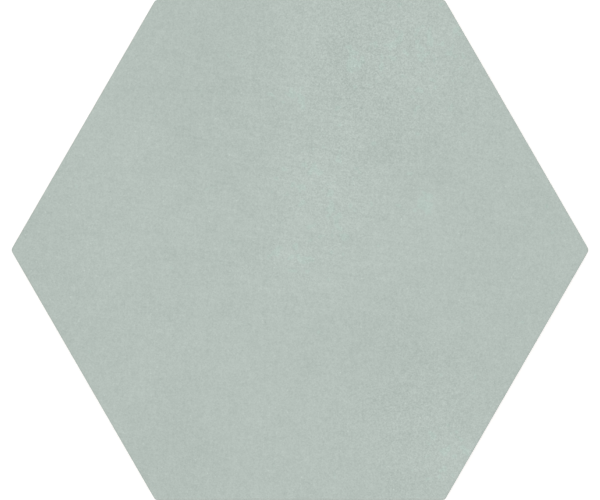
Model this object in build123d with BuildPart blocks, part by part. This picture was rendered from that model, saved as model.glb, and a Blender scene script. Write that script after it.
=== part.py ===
"""Hexagonal floor tile of dry-pressed glazed porcelain, lying face up on its keyed back.

Millimetres, +Z up. The origin is the middle of the bedding plane: the rim and ribs of the back stand
on Z = 0 and the glazed face is on top. Two corners point along X, and two sides are square to Y.
"""

import os
from math import cos, floor, radians

from build123d import *

# Outline and section of the pressed body
ACROSS_FLATS = 200.0  # side to opposite side, at the widest part of the wall
THICKNESS = 9.0  # bedding plane to face
CORNER_RADIUS = 1.8  # upright corners, as the die leaves them
ARRIS_RADIUS = 0.8  # soft edge between face and wall
DRAFT_HEIGHT = 3.6  # lower part of the wall, which leans in so that the die lets go
DRAFT_SETBACK = 0.5  # how far the wall has leaned in where it reaches the back
BACK_EDGE_BEVEL = 0.3  # bevel round the bedding plane

# Honeycomb of shallow pockets that keys the back to its adhesive
RIM_WIDTH = 7.5  # least plain rim around the pockets, on the bedding plane
CELL_PITCH = 16.0  # middle of one pocket to the middle of the next
RIB_WIDTH = 2.6  # rib between two pockets, at the bedding plane
KEY_DEPTH = 0.9  # bedding plane to pocket floor
KEY_DRAFT_ANGLE = 30.0  # lean of the pocket walls, in degrees from upright

SIDE_COUNT = 6
HALF_CORNER = 180 / SIDE_COUNT  # half of the turn from one side to the next, in degrees

# Each pocket is turned half a corner against the tile, so that rings of whole pockets around the
# middle one grow into a hexagon whose rows run parallel to the tile's sides.
row_pitch = CELL_PITCH * cos(radians(HALF_CORNER))
cell_apothem = (CELL_PITCH - RIB_WIDTH) / 2
cell_point = cell_apothem / cos(radians(HALF_CORNER))
bedding_apothem = ACROSS_FLATS / 2 - DRAFT_SETBACK - BACK_EDGE_BEVEL
ring_count = floor((bedding_apothem - RIM_WIDTH - cell_point) / row_pitch)


def pocket_centres():
    """Middles of the pockets, row by row, with the longest row through the middle of the tile."""
    centres = []
    for row in range(-ring_count, ring_count + 1):
        cells_in_row = 2 * ring_count + 1 - abs(row)
        first_cell_x = -(cells_in_row - 1) / 2 * CELL_PITCH
        for cell in range(cells_in_row):
            centres.append((first_cell_x + cell * CELL_PITCH, row * row_pitch))
    return centres


# One pocket, as the punch presses it: widest at the bedding plane, with leaning walls
with BuildPart() as pocket:
    with BuildSketch():
        RegularPolygon(cell_apothem, SIDE_COUNT, major_radius=False, rotation=HALF_CORNER)
    extrude(amount=KEY_DEPTH, taper=KEY_DRAFT_ANGLE)

# The tile, pressed and fired in one piece
with BuildPart() as floor_tile:
    with BuildSketch() as outline:
        RegularPolygon(ACROSS_FLATS / 2, SIDE_COUNT, major_radius=False)
        fillet(outline.vertices(), CORNER_RADIUS)
    extrude(amount=THICKNESS)

    face = floor_tile.faces().sort_by(Axis.Z)[-1]
    fillet(face.edges(), ARRIS_RADIUS)

    back = floor_tile.faces().sort_by(Axis.Z)[0]
    chamfer(back.edges(), DRAFT_SETBACK, DRAFT_HEIGHT, reference=back)
    bedding_plane = floor_tile.faces().sort_by(Axis.Z)[0]
    chamfer(bedding_plane.edges(), BACK_EDGE_BEVEL)

    with Locations(*pocket_centres()):
        add(pocket.part, mode=Mode.SUBTRACT, clean=False)

floor_tile.part.label = "floor_tile"

os.makedirs("parts", exist_ok=True)
export_step(floor_tile.part, "parts/floor_tile.step")

print("rings of pockets", ring_count, "pockets", len(pocket_centres()))
print("volume", round(floor_tile.part.volume), "size", floor_tile.part.bounding_box().size)
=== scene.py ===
"""The look of a hexagonal porcelain floor tile with a matt sage glaze, lying face up and seen from above.

Metres, +Z up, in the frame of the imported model: the bedding plane is Z = 0 and two corners point along X.
"""

from functools import reduce
from math import cos, pi, radians, sin, sqrt, tan

import bmesh
import bpy
from mathutils import Matrix, Vector, noise


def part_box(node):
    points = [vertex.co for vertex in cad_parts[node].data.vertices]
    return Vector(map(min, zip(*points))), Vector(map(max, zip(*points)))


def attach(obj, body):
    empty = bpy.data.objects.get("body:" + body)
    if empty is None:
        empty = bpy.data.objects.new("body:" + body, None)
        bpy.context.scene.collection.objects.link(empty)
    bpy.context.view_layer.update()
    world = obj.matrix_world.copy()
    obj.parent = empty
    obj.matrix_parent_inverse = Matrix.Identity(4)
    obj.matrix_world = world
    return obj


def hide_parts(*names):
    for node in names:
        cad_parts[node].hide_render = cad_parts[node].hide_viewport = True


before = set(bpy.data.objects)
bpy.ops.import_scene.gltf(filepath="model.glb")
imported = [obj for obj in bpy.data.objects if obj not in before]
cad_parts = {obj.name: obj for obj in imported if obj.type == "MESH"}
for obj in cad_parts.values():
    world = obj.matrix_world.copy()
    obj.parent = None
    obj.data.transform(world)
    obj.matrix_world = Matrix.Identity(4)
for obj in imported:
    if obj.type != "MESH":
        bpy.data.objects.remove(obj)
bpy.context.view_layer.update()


# Floor tile: one slab of porcelain, pressed dry in a steel die, sprayed and printed on its face with a matt
# sage glaze and fired once. It lies loose on the floor, on the rim and the ribs of its keyed back.
tile_low, tile_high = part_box("floor_tile")
SIDES = 6
HALF_CORNER = pi / SIDES
WALL_APOTHEM = (tile_high.y - tile_low.y) / 2
FACE_HEIGHT = tile_high.z
CORNER_RADIUS = 0.0018
CORNER_STEPS = 8
ARRIS_RADIUS = 0.0008
ARRIS_STEPS = 6
DRAFT_HEIGHT = 0.0036
DRAFT_SETBACK = 0.0005
BACK_EDGE_BEVEL = 0.0003
SAME_HEIGHT = 1e-7
UP = (0, 0, 1)
DOWN = (0, 0, -1)

# The order of the three finishes on the mesh
GLAZED = 0
WALL = 1
BACK = 2


def hexagon(mesh, apothem, height, middle=(0.0, 0.0), turned=False, in_triangles=False):
    """A flat hexagon that faces up. Two corners point along X, or along Y when it is turned."""
    place = Matrix.Translation((*middle, height))
    if not turned:
        place = place @ Matrix.Rotation(HALF_CORNER, 4, "Z")
    made = bmesh.ops.create_circle(
        mesh,
        cap_ends=True,
        cap_tris=in_triangles,
        segments=SIDES,
        radius=apothem / cos(HALF_CORNER),
        matrix=place,
    )
    return made["verts"]


def round_corners(mesh, corners, radius, steps):
    """Rounds the corners of flat hexagons."""
    bmesh.ops.bevel(
        mesh,
        geom=corners,
        affect="VERTICES",
        offset_type="OFFSET",
        offset=radius * tan(HALF_CORNER),
        segments=steps,
        profile=0.5,
        material=-1,
    )


def middle_height(face):
    """How high the middle of a face lies."""
    return face.calc_center_median().z


def edges_at_height(mesh, height):
    """The edges that lie flat at one height."""
    return [e for e in mesh.edges if all(abs(v.co.z - height) < SAME_HEIGHT for v in e.verts)]


def open_edges(edges):
    """Those of the edges that have a face on one side only."""
    return [e for e in edges if len(e.link_faces) == 1]


def fill_flat(mesh, edges, normal, finish):
    """Closes the flat area between an outer loop of edges and the loops inside it."""
    made = bmesh.ops.triangle_fill(mesh, use_beauty=True, edges=edges, normal=normal)["geom"]
    for face in made:
        if isinstance(face, bmesh.types.BMFace):
            face.material_index = finish


# The pressed slab: an upright wall and a soft arris round the face
tile = bmesh.new()
round_corners(tile, hexagon(tile, WALL_APOTHEM, DRAFT_HEIGHT), CORNER_RADIUS, CORNER_STEPS)
raised = bmesh.ops.extrude_face_region(tile, geom=tile.faces[:], use_keep_orig=True)["geom"]
raised_corners = [v for v in raised if isinstance(v, bmesh.types.BMVert)]
bmesh.ops.translate(tile, verts=raised_corners, vec=(0, 0, FACE_HEIGHT - DRAFT_HEIGHT))
bmesh.ops.recalc_face_normals(tile, faces=tile.faces[:])
bmesh.ops.bevel(
    tile,
    geom=edges_at_height(tile, FACE_HEIGHT),
    affect="EDGES",
    offset_type="OFFSET",
    offset=ARRIS_RADIUS,
    segments=ARRIS_STEPS,
    profile=0.5,
    material=-1,
)
for face in tile.faces:
    above_wall = middle_height(face) > FACE_HEIGHT - ARRIS_RADIUS
    face.material_index = GLAZED if above_wall else WALL

# Below the upright wall, a wall that leans in and ends in a small bevel. Face and back are left open.
wall_slope = DRAFT_SETBACK / DRAFT_HEIGHT
bevel_height = BACK_EDGE_BEVEL / sqrt(1 + wall_slope ** 2)
lean_height = DRAFT_HEIGHT - bevel_height
lean = lean_height * wall_slope
bevel_width = DRAFT_SETBACK + BACK_EDGE_BEVEL - lean
plain_back = min(tile.faces, key=middle_height)
for width, depth in ((lean, lean_height), (bevel_width, bevel_height)):
    bmesh.ops.inset_region(tile, faces=[plain_back], thickness=width, depth=depth, use_even_offset=True)
plain_face = max(tile.faces, key=middle_height)
bmesh.ops.delete(tile, geom=[plain_face, plain_back], context="FACES_ONLY")

# The face: a lattice of small triangles, a few hundredths of a millimetre off flat, as pressed faces are.
# Its waves come in layers, each one lower and narrower than the last.
FACE_MARGIN = 0.0022
LATTICE_CUTS = 63
WAVE_DEPTH = 0.00004
WAVE_LENGTH = 0.018
WAVE_FADE = 0.006
WAVE_CALMING = 1.0
WAVE_NARROWING = 2.0
WAVE_LAYERS = 3
side_directions = [Matrix.Rotation(2 * HALF_CORNER * k, 3, "Z") @ Vector((0, 1, 0)) for k in range(SIDES)]


def outward(point):
    """How far a point lies from the tile's middle, straight towards the nearest side."""
    return max(point.dot(direction) for direction in side_directions)


def clamped(value):
    """The value, or 0 or 1 where it lies beyond them."""
    return min(max(value, 0.0), 1.0)


lattice_apothem = WALL_APOTHEM - ARRIS_RADIUS - FACE_MARGIN
lattice_corners = hexagon(tile, lattice_apothem, FACE_HEIGHT, in_triangles=True)
lattice_edges = list(dict.fromkeys(e for v in lattice_corners for e in v.link_edges))
bmesh.ops.subdivide_edges(tile, edges=lattice_edges, cuts=LATTICE_CUTS, use_grid_fill=True)
fill_flat(tile, open_edges(edges_at_height(tile, FACE_HEIGHT)), UP, GLAZED)
for vertex in tile.verts:
    if vertex.co.z > FACE_HEIGHT - SAME_HEIGHT:
        fullness = clamped((lattice_apothem - outward(vertex.co)) / WAVE_FADE)
        swell = noise.fractal(vertex.co / WAVE_LENGTH, WAVE_CALMING, WAVE_NARROWING, WAVE_LAYERS)
        vertex.co.z -= WAVE_DEPTH * fullness * clamped((1 + swell) / 2)

# The keyed back: rings of six-sided pockets with leaning walls, rounded at the lip and at the root
CELL_PITCH = 0.016
RIB_WIDTH = 0.0026
RING_COUNT = 6
KEY_DEPTH = 0.0009
KEY_STEEPNESS = radians(60)
POCKET_CORNER_RADIUS = 0.0012
POCKET_CORNER_STEPS = 2
LIP_RADIUS = 0.00035
ROOT_RADIUS = 0.00035
ROUND_STEPS = 2


def pocket_section():
    """The insets and rises that lead from the flat of a rib to the floor of a pocket."""
    turns = [KEY_STEEPNESS * k / ROUND_STEPS for k in range(ROUND_STEPS + 1)]
    arc = [(sin(b) - sin(a), cos(a) - cos(b)) for a, b in zip(turns, turns[1:])]
    lip = [(LIP_RADIUS * inset, LIP_RADIUS * rise) for inset, rise in arc]
    root = [(ROOT_RADIUS * inset, ROOT_RADIUS * rise) for inset, rise in reversed(arc)]
    wall_rise = KEY_DEPTH - sum(rise for _, rise in lip + root)
    return [*lip, (wall_rise / tan(KEY_STEEPNESS), wall_rise), *root]


lip_start = LIP_RADIUS * tan(KEY_STEEPNESS / 2)
pocket_apothem = (CELL_PITCH - RIB_WIDTH) / 2 + lip_start
row_pitch = CELL_PITCH * cos(HALF_CORNER)
pocket_corners = []
for row in range(-RING_COUNT, RING_COUNT + 1):
    cells_in_row = 2 * RING_COUNT + 1 - abs(row)
    for cell in range(cells_in_row):
        middle = ((cell - (cells_in_row - 1) / 2) * CELL_PITCH, row * row_pitch)
        pocket_corners += hexagon(tile, pocket_apothem, 0.0, middle, turned=True)
round_corners(tile, pocket_corners, POCKET_CORNER_RADIUS + lip_start, POCKET_CORNER_STEPS)
pocket_floors = [f for f in tile.faces if abs(middle_height(f)) < SAME_HEIGHT]
bmesh.ops.reverse_faces(tile, faces=pocket_floors)
for face in pocket_floors:
    face.material_index = BACK
for inset, rise in pocket_section():
    bmesh.ops.inset_individual(
        tile, faces=pocket_floors, thickness=inset, depth=-rise, use_even_offset=True
    )
fill_flat(tile, open_edges(edges_at_height(tile, 0.0)), DOWN, BACK)

for face in tile.faces:
    face.smooth = True
for edge in edges_at_height(tile, DRAFT_HEIGHT) + edges_at_height(tile, bevel_height):
    edge.smooth = False

# The flat layout of the finish: face and wall open out in one hexagon, and the back is a smaller one.
# They lie in two corners of a square whose side is 1.
LAYOUT_NAME = "OFBake"
LAYOUT_EDGE = 0.004
OPEN_APOTHEM = 0.37
BACK_APOTHEM = 0.165


def room_for(apothem):
    """Half the width and half the height of a hexagon in the layout, with the free edge beside it."""
    return Vector((apothem / cos(HALF_CORNER) + LAYOUT_EDGE, apothem + LAYOUT_EDGE))


open_scale = OPEN_APOTHEM / (WALL_APOTHEM + FACE_HEIGHT)
back_scale = BACK_APOTHEM / (WALL_APOTHEM - DRAFT_SETBACK)
open_middle = room_for(OPEN_APOTHEM)
back_middle = Vector((1.0, 1.0)) - room_for(BACK_APOTHEM)
layout = tile.loops.layers.uv.new(LAYOUT_NAME)
for face in tile.faces:
    for corner in face.loops:
        point = corner.vert.co
        if face.material_index == BACK:
            corner[layout].uv = back_middle + Vector((-point.x, point.y)) * back_scale
        else:
            opened = 1 + (FACE_HEIGHT - point.z) / max(outward(point), ARRIS_RADIUS)
            corner[layout].uv = open_middle + point.xy * opened * open_scale

scene = bpy.context.scene
tile_mesh = bpy.data.meshes.new("tile")
tile.to_mesh(tile_mesh)
tile.free()
dressed_tile = bpy.data.objects.new("tile", tile_mesh)
scene.collection.objects.link(dressed_tile)
softness = dressed_tile.modifiers.new("flat faces stay flat", "WEIGHTED_NORMAL")
softness.keep_sharp = True


# What the finishes below are put together with
def add(tree, kind, inputs=(), **settings):
    """A new node with its settings and inputs. An input is a value, or the socket that feeds it."""
    made = tree.nodes.new(kind)
    for name, value in settings.items():
        setattr(made, name, value)
    for name, value in dict(inputs).items():
        if isinstance(value, bpy.types.NodeSocket):
            tree.links.new(value, made.inputs[name])
        else:
            made.inputs[name].default_value = value
    return made


def work_out(tree, operation, *terms):
    """One step of arithmetic on values or sockets."""
    return add(tree, "ShaderNodeMath", enumerate(terms), operation=operation).outputs[0]


def work_out_place(tree, operation, *terms):
    """One step of arithmetic on places and directions."""
    return add(tree, "ShaderNodeVectorMath", enumerate(terms), operation=operation).outputs[0]


def total(tree, *terms):
    """The sum of several values or sockets."""
    return reduce(lambda so_far, term: work_out(tree, "ADD", so_far, term), terms)


def product(tree, *terms):
    """The product of several values or sockets."""
    return reduce(lambda so_far, term: work_out(tree, "MULTIPLY", so_far, term), terms)


def fade(tree, value, start, stop):
    """A soft step from 0 to 1 while the value goes from start to stop."""
    inputs = {"Value": value, "From Min": start, "From Max": stop}
    return add(tree, "ShaderNodeMapRange", inputs, interpolation_type="SMOOTHSTEP").outputs[0]


# The sockets of a Mix node go by number, because several have the same name
MIX_SHARE = 0
FIRST_VALUE = 2
SECOND_VALUE = 3
MIXED_VALUE = 0
FIRST_COLOUR = 6
SECOND_COLOUR = 7
MIXED_COLOUR = 2


def mix_values(tree, share, first, second):
    """The first value where the share is 0, and the second one where it is 1."""
    inputs = {MIX_SHARE: share, FIRST_VALUE: first, SECOND_VALUE: second}
    return add(tree, "ShaderNodeMix", inputs, data_type="FLOAT").outputs[MIXED_VALUE]


def mix_colours(tree, share, first, second):
    """The first colour where the share is 0, and the second one where it is 1."""
    inputs = {MIX_SHARE: share, FIRST_COLOUR: first, SECOND_COLOUR: second}
    return add(tree, "ShaderNodeMix", inputs, data_type="RGBA").outputs[MIXED_COLOUR]


# The layers of a noise line up at zero and show as a cross there, so it starts away from the tile's middle
NOISE_START = (0.731, 0.417, 0.293)
NOISE_MIDDLE = 0.5


def swing(tree, place, scale, amount, detail=0.0, roughness=0.5):
    """Soft noise that swings about zero by the amount. The scale is in swings for each metre."""
    shifted = work_out_place(tree, "ADD", place, NOISE_START)
    inputs = {"Vector": shifted, "Scale": scale, "Detail": detail, "Roughness": roughness}
    raw = add(tree, "ShaderNodeTexNoise", inputs).outputs[0]
    return product(tree, work_out(tree, "SUBTRACT", raw, NOISE_MIDDLE), amount)


def streaks(tree, place, scale, amount, turn=0.0):
    """Noise drawn out along the axes whose scale is small, and turned clockwise as seen from above."""
    inputs = {"Vector": place, "Angle": turn}
    turned = add(tree, "ShaderNodeVectorRotate", inputs, rotation_type="Z_AXIS").outputs[0]
    drawn_out = work_out_place(tree, "MULTIPLY", turned, scale)
    return swing(tree, drawn_out, scale=1.0, amount=amount, detail=1.0)


def new_group(name, inputs, outputs):
    """An empty shader group with its named sockets, then the sockets where its nodes start and end."""
    group = bpy.data.node_groups.new(name, "ShaderNodeTree")
    for label, kind in inputs.items():
        group.interface.new_socket(label, in_out="INPUT", socket_type="NodeSocket" + kind)
    for label, kind in outputs.items():
        group.interface.new_socket(label, in_out="OUTPUT", socket_type="NodeSocket" + kind)
    return group, add(group, "NodeGroupInput").outputs, add(group, "NodeGroupOutput").inputs


# Specks: small round spots strewn at random, such as pinholes in a glaze or iron in a fired body
SPECK_INPUTS = {"Place": "Vector", "Scale": "Float", "Radius": "Float", "Share": "Float"}
SPECK_EDGE = {"scale": 4000.0, "amount": 0.8, "detail": 1.0}
SPECK_CORE = 0.5
specks, begin, end = new_group("specks", SPECK_INPUTS, {"Mask": "Float"})
place = begin["Place"]
radius = begin["Radius"]
cells = add(specks, "ShaderNodeTexVoronoi", {"Vector": place, "Scale": begin["Scale"]}).outputs
from_speck = work_out(specks, "MULTIPLY_ADD", radius, swing(specks, place, **SPECK_EDGE), cells["Distance"])
speck = fade(specks, from_speck, radius, product(specks, radius, SPECK_CORE))
lot = add(specks, "ShaderNodeSeparateColor", {"Color": cells["Color"]}).outputs[0]
chosen = work_out(specks, "LESS_THAN", lot, begin["Share"])
specks.links.new(product(specks, speck, chosen), end["Mask"])


def strewn(tree, place, scale, radius, share):
    """1 on specks. The radius is a part of the room that each has, and the share is how many there are."""
    inputs = {"Place": place, "Scale": scale, "Radius": radius, "Share": share}
    return add(tree, "ShaderNodeGroup", inputs, node_tree=specks).outputs["Mask"]


# Soft patch: one cloud or zone of the print, an oval that fades out evenly
PATCH_INPUTS = {"Place": "Vector", "Middle": "Vector", "Reach": "Vector"}
ANY_HEIGHT = 1000.0
soft_patch, begin, end = new_group("soft patch", PATCH_INPUTS, {"Mask": "Float"})
from_middle = work_out_place(soft_patch, "SUBTRACT", begin["Place"], begin["Middle"])
in_reaches = work_out_place(soft_patch, "DIVIDE", from_middle, begin["Reach"])
inputs = {0: in_reaches, 1: in_reaches}
squared = add(soft_patch, "ShaderNodeVectorMath", inputs, operation="DOT_PRODUCT").outputs["Value"]
falling = product(soft_patch, squared, -1.0)
soft_patch.links.new(work_out(soft_patch, "EXPONENT", falling), end["Mask"])


def patches(tree, place, listed):
    """The sum of soft patches, each with its middle, its reach and its strength."""
    masks = []
    for middle, reach, strength in listed:
        inputs = {"Place": place, "Middle": (*middle, 0.0), "Reach": (*reach, ANY_HEIGHT)}
        patch = add(tree, "ShaderNodeGroup", inputs, node_tree=soft_patch)
        masks.append(product(tree, patch.outputs["Mask"], strength))
    return total(tree, *masks)


# Sage glaze: a pale green-grey matt print with soft clouds, stippled grain, fine threads and minty flecks.
# Amounts of tone are steps of the print, of which TONE_SPAN lead from the deep to the pale colour.
# Heights are in hundredths of a millimetre.
FINISH_OUTPUTS = {"Colour": "Color", "Roughness": "Float", "Height": "Float"}
HEIGHT_UNIT = 0.00001
GLAZE_DEEP = (0.352, 0.416, 0.383, 1.0)
GLAZE_PALE = (0.576, 0.651, 0.609, 1.0)
MINT_DEEP = (0.351, 0.440, 0.398, 1.0)
MINT_PALE = (0.573, 0.681, 0.630, 1.0)
TONE_SPAN = 40.0
MIDDLE_TONE = 0.5
GLAZE_ROUGHNESS = 0.66
ROUGHNESS_OF_TONE = -0.004
SPECKLE_HEIGHT = 0.1

# Clouds and zones of the print, with outlines that wander a little
SWAY = {"Scale": 45.0, "Detail": 2.0}
SWAY_REACH = (0.020, 0.020, 0.0)
CLOUDS = (
    ((0.009, 0.027), (0.015, 0.024), 3.0),
    ((0.025, 0.019), (0.011, 0.009), 1.5),
    ((0.000, 0.080), (0.009, 0.024), 1.8),
    ((-0.004, 0.062), (0.005, 0.004), 2.0),
    ((0.024, 0.075), (0.003, 0.004), 2.0),
    ((0.004, -0.012), (0.029, 0.017), 2.4),
    ((-0.007, -0.003), (0.007, 0.004), 2.0),
    ((-0.024, -0.056), (0.014, 0.022), 0.8),
    ((0.040, 0.001), (0.018, 0.012), 2.2),
    ((0.051, 0.018), (0.007, 0.005), 3.6),
    ((0.045, 0.082), (0.016, 0.026), 2.2),
    ((0.062, -0.088), (0.013, 0.017), 2.6),
    ((-0.066, 0.038), (0.030, 0.018), 0.4),
    ((-0.036, 0.066), (0.023, 0.036), -2.8),
    ((0.018, 0.006), (0.008, 0.003), -3.0),
    ((0.040, 0.043), (0.013, 0.014), -2.2),
    ((0.019, 0.070), (0.007, 0.012), -1.4),
    ((0.040, -0.040), (0.019, 0.020), -2.4),
    ((0.072, -0.044), (0.021, 0.024), -1.4),
    ((-0.053, -0.079), (0.021, 0.020), -3.0),
    ((-0.094, -0.038), (0.019, 0.022), -1.9),
    ((-0.106, 0.004), (0.012, 0.018), -1.6),
    ((0.086, 0.006), (0.018, 0.028), -0.7),
)
COARSE_ZONES = (
    ((0.031, 0.076), (0.040, 0.036), 1.00),
    ((0.012, 0.026), (0.022, 0.024), 0.52),
    ((-0.004, -0.004), (0.022, 0.012), 0.30),
    ((0.052, -0.072), (0.028, 0.034), 0.65),
)
THREADED_ZONES = (
    ((0.000, 0.030), (0.120, 0.070), 0.85),
    ((0.012, 0.016), (0.026, 0.026), 0.50),
)
BRUSHED_ZONES = (
    ((0.045, -0.070), (0.045, 0.050), 1.0),
)
FLECKED_ZONES = (
    ((0.010, 0.026), (0.018, 0.026), 1.0),
    ((-0.006, -0.003), (0.009, 0.006), 1.4),
    ((-0.004, 0.062), (0.006, 0.005), 1.7),
    ((0.024, 0.075), (0.004, 0.006), 1.7),
    ((0.051, 0.018), (0.006, 0.005), 1.4),
    ((0.048, 0.082), (0.026, 0.024), 1.0),
    ((0.063, -0.083), (0.014, 0.018), 1.0),
)

# Layers of the print, from broad to fine
HAZE = {"scale": 16.0, "amount": 3.2, "detail": 2.0}
MOTTLE = {"scale": 100.0, "amount": 6.6, "detail": 2.0}
GRAIN = {"scale": 420.0, "amount": 8.7, "detail": 1.0, "roughness": 0.8}
STIPPLE = {"scale": 1800.0, "amount": 34.0, "detail": 1.0, "roughness": 0.8}
ALONG_X = (80.0, 1200.0, 1.0)
ALONG_Y = (1200.0, 80.0, 1.0)
WEFT = {"scale": ALONG_X, "amount": 2.6}
WARP = {"scale": ALONG_Y, "amount": 3.6}
THREADS = {"scale": ALONG_X, "amount": 11.0, "turn": radians(10)}
BRUSHING = {"scale": ALONG_X, "amount": 3.5, "turn": radians(-20)}
PINHOLES = {"scale": 260.0, "radius": 0.09, "share": 0.4}
PINHOLE_TONE = -9.0
PINHOLE_HEIGHT = -2.0
PALE_SPECKS = {"scale": 380.0, "radius": 0.13, "share": 0.4}
PALE_SPECK_TONE = 14.0
FLECKS = {"scale": 280.0, "amount": 1.0, "detail": 1.0}
FLECKS_DRAWN_OUT = 0.20
FLECK_START = 0.24
FLECK_FULL = 0.32
FLECK_STRENGTH = 0.85

sage_glaze, begin, end = new_group("sage glaze", {"Place": "Vector"}, FINISH_OUTPUTS)
place = begin["Place"]
sway = add(sage_glaze, "ShaderNodeTexNoise", {"Vector": place, **SWAY}).outputs["Color"]
centred = work_out_place(sage_glaze, "SUBTRACT", sway, (NOISE_MIDDLE, NOISE_MIDDLE, NOISE_MIDDLE))
swayed_place = work_out_place(sage_glaze, "MULTIPLY_ADD", centred, SWAY_REACH, place)

clouds = patches(sage_glaze, swayed_place, CLOUDS)
haze = swing(sage_glaze, place, **HAZE)
mottle = swing(sage_glaze, place, **MOTTLE)
grain = swing(sage_glaze, place, **GRAIN)
stipple = swing(sage_glaze, place, **STIPPLE)
coarseness = total(sage_glaze, patches(sage_glaze, swayed_place, COARSE_ZONES), 1.0)
speckle = total(sage_glaze, grain, product(sage_glaze, stipple, coarseness))
weft = streaks(sage_glaze, place, **WEFT)
warp = streaks(sage_glaze, place, **WARP)
threads = streaks(sage_glaze, place, **THREADS)
threaded = product(sage_glaze, threads, patches(sage_glaze, place, THREADED_ZONES))
brushing = streaks(sage_glaze, place, **BRUSHING)
brushed = product(sage_glaze, brushing, patches(sage_glaze, place, BRUSHED_ZONES))
weave = total(sage_glaze, weft, warp, threaded, brushed)
pinholes = strewn(sage_glaze, place, **PINHOLES)
pinhole_tone = product(sage_glaze, pinholes, PINHOLE_TONE)
pale_tone = product(sage_glaze, strewn(sage_glaze, place, **PALE_SPECKS), PALE_SPECK_TONE)
tone = total(sage_glaze, clouds, haze, mottle, speckle, weave, pinhole_tone, pale_tone)
tone_share = work_out(sage_glaze, "MULTIPLY_ADD", tone, 1.0 / TONE_SPAN, MIDDLE_TONE)

fleck_zone = patches(sage_glaze, swayed_place, FLECKED_ZONES)
fleck_noise = swing(sage_glaze, place, **FLECKS)
fleck_field = work_out(sage_glaze, "MULTIPLY_ADD", fleck_zone, FLECKS_DRAWN_OUT, fleck_noise)
flecks = product(sage_glaze, fade(sage_glaze, fleck_field, FLECK_START, FLECK_FULL), FLECK_STRENGTH)
plain_print = mix_colours(sage_glaze, tone_share, GLAZE_DEEP, GLAZE_PALE)
minty_print = mix_colours(sage_glaze, tone_share, MINT_DEEP, MINT_PALE)
glaze_colour = mix_colours(sage_glaze, flecks, plain_print, minty_print)
glaze_roughness = work_out(sage_glaze, "MULTIPLY_ADD", tone, ROUGHNESS_OF_TONE, GLAZE_ROUGHNESS)
speckle_height = product(sage_glaze, speckle, SPECKLE_HEIGHT)
glaze_height = work_out(sage_glaze, "MULTIPLY_ADD", pinholes, PINHOLE_HEIGHT, speckle_height)
sage_glaze.links.new(glaze_colour, end["Colour"])
sage_glaze.links.new(glaze_roughness, end["Roughness"])
sage_glaze.links.new(glaze_height, end["Height"])

# Pressed porcelain: the bare fired body, a warm off-white with faint clouds, sandy grain and specks of iron
BODY_DEEP = (0.500, 0.448, 0.380, 1.0)
BODY_PALE = (0.700, 0.652, 0.582, 1.0)
BODY_IRON = (0.150, 0.095, 0.060, 1.0)
DRIFT = {"scale": 60.0, "amount": 1.0, "detail": 2.0}
SAND = {"scale": 1100.0, "amount": 1.6, "detail": 2.0, "roughness": 0.7}
SAND_HEIGHT = 4.0
IRON = {"scale": 300.0, "radius": 0.12, "share": 0.5}
IRON_STRENGTH = 0.7
BODY_ROUGHNESS = 0.84
ROUGHNESS_OF_SAND = 0.10
porcelain, begin, end = new_group("pressed porcelain", {"Place": "Vector"}, FINISH_OUTPUTS)
place = begin["Place"]
sand = swing(porcelain, place, **SAND)
paleness = total(porcelain, swing(porcelain, place, **DRIFT), sand, MIDDLE_TONE)
bare_colour = mix_colours(porcelain, paleness, BODY_DEEP, BODY_PALE)
iron = product(porcelain, strewn(porcelain, place, **IRON), IRON_STRENGTH)
body_roughness = work_out(porcelain, "MULTIPLY_ADD", sand, ROUGHNESS_OF_SAND, BODY_ROUGHNESS)
porcelain.links.new(mix_colours(porcelain, iron, bare_colour, BODY_IRON), end["Colour"])
porcelain.links.new(body_roughness, end["Roughness"])
porcelain.links.new(product(porcelain, sand, SAND_HEIGHT), end["Height"])


def new_finish(name):
    """A new material, then its node tree and the inputs of its shader."""
    made = bpy.data.materials.new(name)
    made.use_nodes = True
    return made, made.node_tree, made.node_tree.nodes["Principled BSDF"].inputs


def whereabouts(tree):
    """Where a point of the tile is, and how high it lies."""
    place = add(tree, "ShaderNodeTexCoord").outputs["Object"]
    return place, add(tree, "ShaderNodeSeparateXYZ", {"Vector": place}).outputs["Z"]


def coating(tree, group, place):
    """The colour, roughness and height that a group gives at a place."""
    return add(tree, "ShaderNodeGroup", {"Place": place}, node_tree=group).outputs


def dress(tree, shader, colour, roughness, height):
    """Leads a colour, a roughness and a height to the shader."""
    tree.links.new(colour, shader["Base Color"])
    tree.links.new(roughness, shader["Roughness"])
    bumps = add(tree, "ShaderNodeBump", {"Height": height, "Distance": HEIGHT_UNIT})
    tree.links.new(bumps.outputs[0], shader["Normal"])


# Glazed face: the glaze lies even on the face and thins a little over the arris, where the body warms it
THINNING = {"scale": 350.0, "amount": 1.6, "detail": 2.0}
THINNING_EVERYWHERE = 0.02
THINNING_START = 0.08 * ARRIS_RADIUS
THINNING_FULL = 0.35 * ARRIS_RADIUS
THINNING_EASES = 0.5 * ARRIS_RADIUS
THINNING_ENDS = 0.95 * ARRIS_RADIUS
glazed_face, inner, shader = new_finish("matt sage glaze")
place, level = whereabouts(inner)
glaze = coating(inner, sage_glaze, place)
body = coating(inner, porcelain, place)
below_face = work_out(inner, "SUBTRACT", FACE_HEIGHT, level)
over_edge = fade(inner, below_face, THINNING_START, THINNING_FULL)
under_edge = fade(inner, below_face, THINNING_ENDS, THINNING_EASES)
thinning = total(inner, swing(inner, place, **THINNING), THINNING_EVERYWHERE)
thinned = work_out(inner, "MAXIMUM", product(inner, thinning, over_edge, under_edge), 0.0)
dress(
    inner,
    shader,
    mix_colours(inner, thinned, glaze["Colour"], body["Colour"]),
    glaze["Roughness"],
    glaze["Height"],
)
tile_mesh.materials.append(glazed_face)

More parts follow.
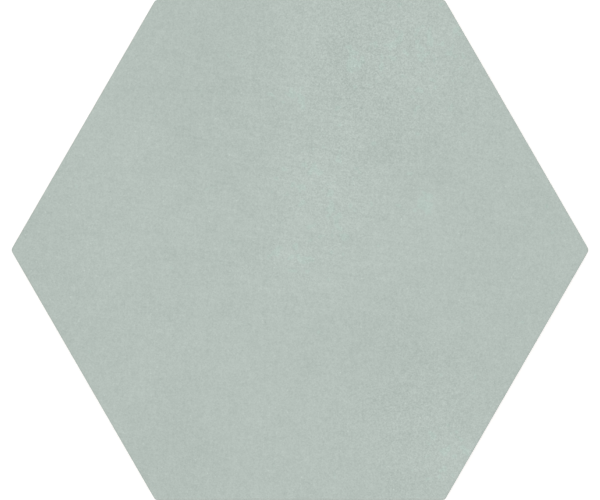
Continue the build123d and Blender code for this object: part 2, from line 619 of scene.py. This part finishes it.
# Wall: the bare body with upright drag marks from the die, painted shade darkening its foot next to the
# floor, and the ragged edge of the glaze along its top
DRAG = {"scale": (800.0, 800.0, 30.0), "amount": 1.0}
DRAG_SHADE = 1.6
DRAG_HEIGHT = 9.0
WALL_SHADE = 0.15
TOE_TOP = 0.0013
PAINTED_TOE_SHADE = 0.45
RAGGED = {"scale": 170.0, "amount": 0.0050, "detail": 4.0, "roughness": 0.62}
GLAZE_REACH = 0.0022
GLAZE_EDGE = 0.0003
GLAZE_STEP = 12.0
wall_finish, inner, shader = new_finish("pressed wall")
place, level = whereabouts(inner)
glaze = coating(inner, sage_glaze, place)
body = coating(inner, porcelain, place)
drag = streaks(inner, place, **DRAG)
drag_shade = work_out(inner, "MULTIPLY_ADD", drag, DRAG_SHADE, WALL_SHADE)
# Painted shade: near its foot, where it meets the floor, the wall is mixed towards the deep body colour
painted_toe_shade = product(inner, fade(inner, level, TOE_TOP, 0.0), PAINTED_TOE_SHADE)
# The drag marks and the painted shade at the foot together darken the body colour
drag_marks_and_painted_shade = work_out(inner, "MAXIMUM", total(inner, drag_shade, painted_toe_shade), 0.0)
dragged_and_shaded_colour = mix_colours(inner, drag_marks_and_painted_shade, body["Colour"], BODY_DEEP)
dragged_height = work_out(inner, "MULTIPLY_ADD", drag, DRAG_HEIGHT, body["Height"])
below_face = work_out(inner, "SUBTRACT", FACE_HEIGHT, level)
ragged_depth = total(inner, below_face, swing(inner, place, **RAGGED))
bared = fade(inner, ragged_depth, GLAZE_REACH, GLAZE_REACH + GLAZE_EDGE)
level_height = mix_values(inner, bared, glaze["Height"], dragged_height)
dress(
    inner,
    shader,
    mix_colours(inner, bared, glaze["Colour"], dragged_and_shaded_colour),
    mix_values(inner, bared, glaze["Roughness"], body["Roughness"]),
    work_out(inner, "MULTIPLY_ADD", bared, -GLAZE_STEP, level_height),
)
tile_mesh.materials.append(wall_finish)

# Back: the bare body, with chalky kiln wash rubbed onto the rim and the ribs, and painted shade darkening
# the floors of the pockets
POCKET_SHADE_START = 0.3 * KEY_DEPTH
PAINTED_POCKET_SHADE = 0.5
WASH_COLOUR = (0.80, 0.79, 0.77, 1.0)
WASH_ROUGHNESS = 0.95
WASH_PATCHES = {"scale": 140.0, "amount": 1.0, "detail": 4.0, "roughness": 0.65}
WASH_EDGE = 0.12
WASH_FULL = 0.02 * KEY_DEPTH
WASH_TOP = 0.15 * KEY_DEPTH
WASH_STRENGTH = 0.8
WASH_HEIGHT = 2.0
back_finish, inner, shader = new_finish("keyed back")
place, level = whereabouts(inner)
body = coating(inner, porcelain, place)
# Painted shade: the deeper a point lies in a pocket, the more it is mixed towards the deep body colour
painted_pocket_shade = product(inner, fade(inner, level, POCKET_SHADE_START, KEY_DEPTH), PAINTED_POCKET_SHADE)
pocket_shaded_colour = mix_colours(inner, painted_pocket_shade, body["Colour"], BODY_DEEP)
crest = fade(inner, level, WASH_TOP, WASH_FULL)
patchy = fade(inner, swing(inner, place, **WASH_PATCHES), -WASH_EDGE, WASH_EDGE)
wash = product(inner, crest, patchy, WASH_STRENGTH)
dress(
    inner,
    shader,
    mix_colours(inner, wash, pocket_shaded_colour, WASH_COLOUR),
    mix_values(inner, wash, body["Roughness"], WASH_ROUGHNESS),
    work_out(inner, "MULTIPLY_ADD", wash, WASH_HEIGHT, body["Height"]),
)
tile_mesh.materials.append(back_finish)

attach(dressed_tile, "root")
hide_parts("floor_tile")


# Floor: a pale, wide, level studio floor of matt board, which the tile lies on. To the camera it glows
# a little, so that it is white all over apart from the soft shade close to the tile.
FLOOR_REACH = 20.0
FLOOR_COLOUR = (0.90, 0.90, 0.90, 1.0)
FLOOR_GLOW = 0.33
floor_shape = bmesh.new()
bmesh.ops.create_grid(floor_shape, x_segments=1, y_segments=1, size=FLOOR_REACH)
floor_mesh = bpy.data.meshes.new("floor")
floor_shape.to_mesh(floor_mesh)
floor_shape.free()
floor = bpy.data.objects.new("floor", floor_mesh)
scene.collection.objects.link(floor)


def background_rays(tree):
    """1 for rays that show the background, straight, mirrored or through glass, and 0 for others."""
    path = add(tree, "ShaderNodeLightPath").outputs
    seen = total(tree, path["Is Camera Ray"], path["Is Glossy Ray"], path["Is Transmission Ray"])
    return work_out(tree, "MINIMUM", seen, 1.0)


floor_finish = bpy.data.materials.new("pale floor")
floor_finish.use_nodes = True
inner = floor_finish.node_tree
inner.nodes.clear()
seen_glow = product(inner, background_rays(inner), FLOOR_GLOW)
matt = add(inner, "ShaderNodeBsdfDiffuse", {"Color": FLOOR_COLOUR}).outputs[0]
glow = add(inner, "ShaderNodeEmission", {"Strength": seen_glow}).outputs[0]
both = add(inner, "ShaderNodeAddShader", {0: matt, 1: glow}).outputs[0]
add(inner, "ShaderNodeOutputMaterial", {"Surface": both})
floor_mesh.materials.append(floor_finish)


# Light: an even white surround, like a light tent, and one broad lamp high above, a little to the upper
# left. Together they light the face at a level at which a colour renders about as it is written.
WHITE = (1.0, 1.0, 1.0, 1.0)
SURROUND = 0.613
LAMP_SHARE = 0.326
LAMP_LEAN = radians(5)
LAMP_TURN = radians(215)
LAMP_SPREAD = radians(50)
surround = bpy.data.worlds.new("surround")
surround.use_nodes = True
inner = surround.node_tree
inner.nodes.clear()
even_light = add(inner, "ShaderNodeBackground", {"Color": WHITE, "Strength": SURROUND}).outputs[0]
backdrop = add(inner, "ShaderNodeBackground", {"Color": WHITE, "Strength": 1.0}).outputs[0]
inputs = {0: background_rays(inner), 1: even_light, 2: backdrop}
either = add(inner, "ShaderNodeMixShader", inputs).outputs[0]
add(inner, "ShaderNodeOutputWorld", {"Surface": either})
scene.world = surround
lamp_light = bpy.data.lights.new("lamp", "SUN")
lamp_light.energy = LAMP_SHARE * pi / cos(LAMP_LEAN)
lamp_light.angle = LAMP_SPREAD
lamp = bpy.data.objects.new("lamp", lamp_light)
lamp.rotation_euler = (LAMP_LEAN, 0.0, LAMP_TURN)
scene.collection.objects.link(lamp)


# Camera: a long lens straight above the middle of the tile. Two sides of the tile lie along the picture's
# top and bottom, a hair outside it.
PICTURE_WIDTH = 600
PICTURE_HEIGHT = 500
FOCAL_LENGTH = 135.0
OVERFILL = 1.0015
lens = bpy.data.cameras.new("camera")
lens.lens = FOCAL_LENGTH
pixel_size = 2 * WALL_APOTHEM / (PICTURE_HEIGHT * OVERFILL)
distance = pixel_size * PICTURE_WIDTH * FOCAL_LENGTH / lens.sensor_width
camera = bpy.data.objects.new("camera", lens)
camera.location = (0.0, 0.0, FACE_HEIGHT - ARRIS_RADIUS + distance)
scene.collection.objects.link(camera)
scene.camera = camera
scene.view_settings.view_transform = "Standard"
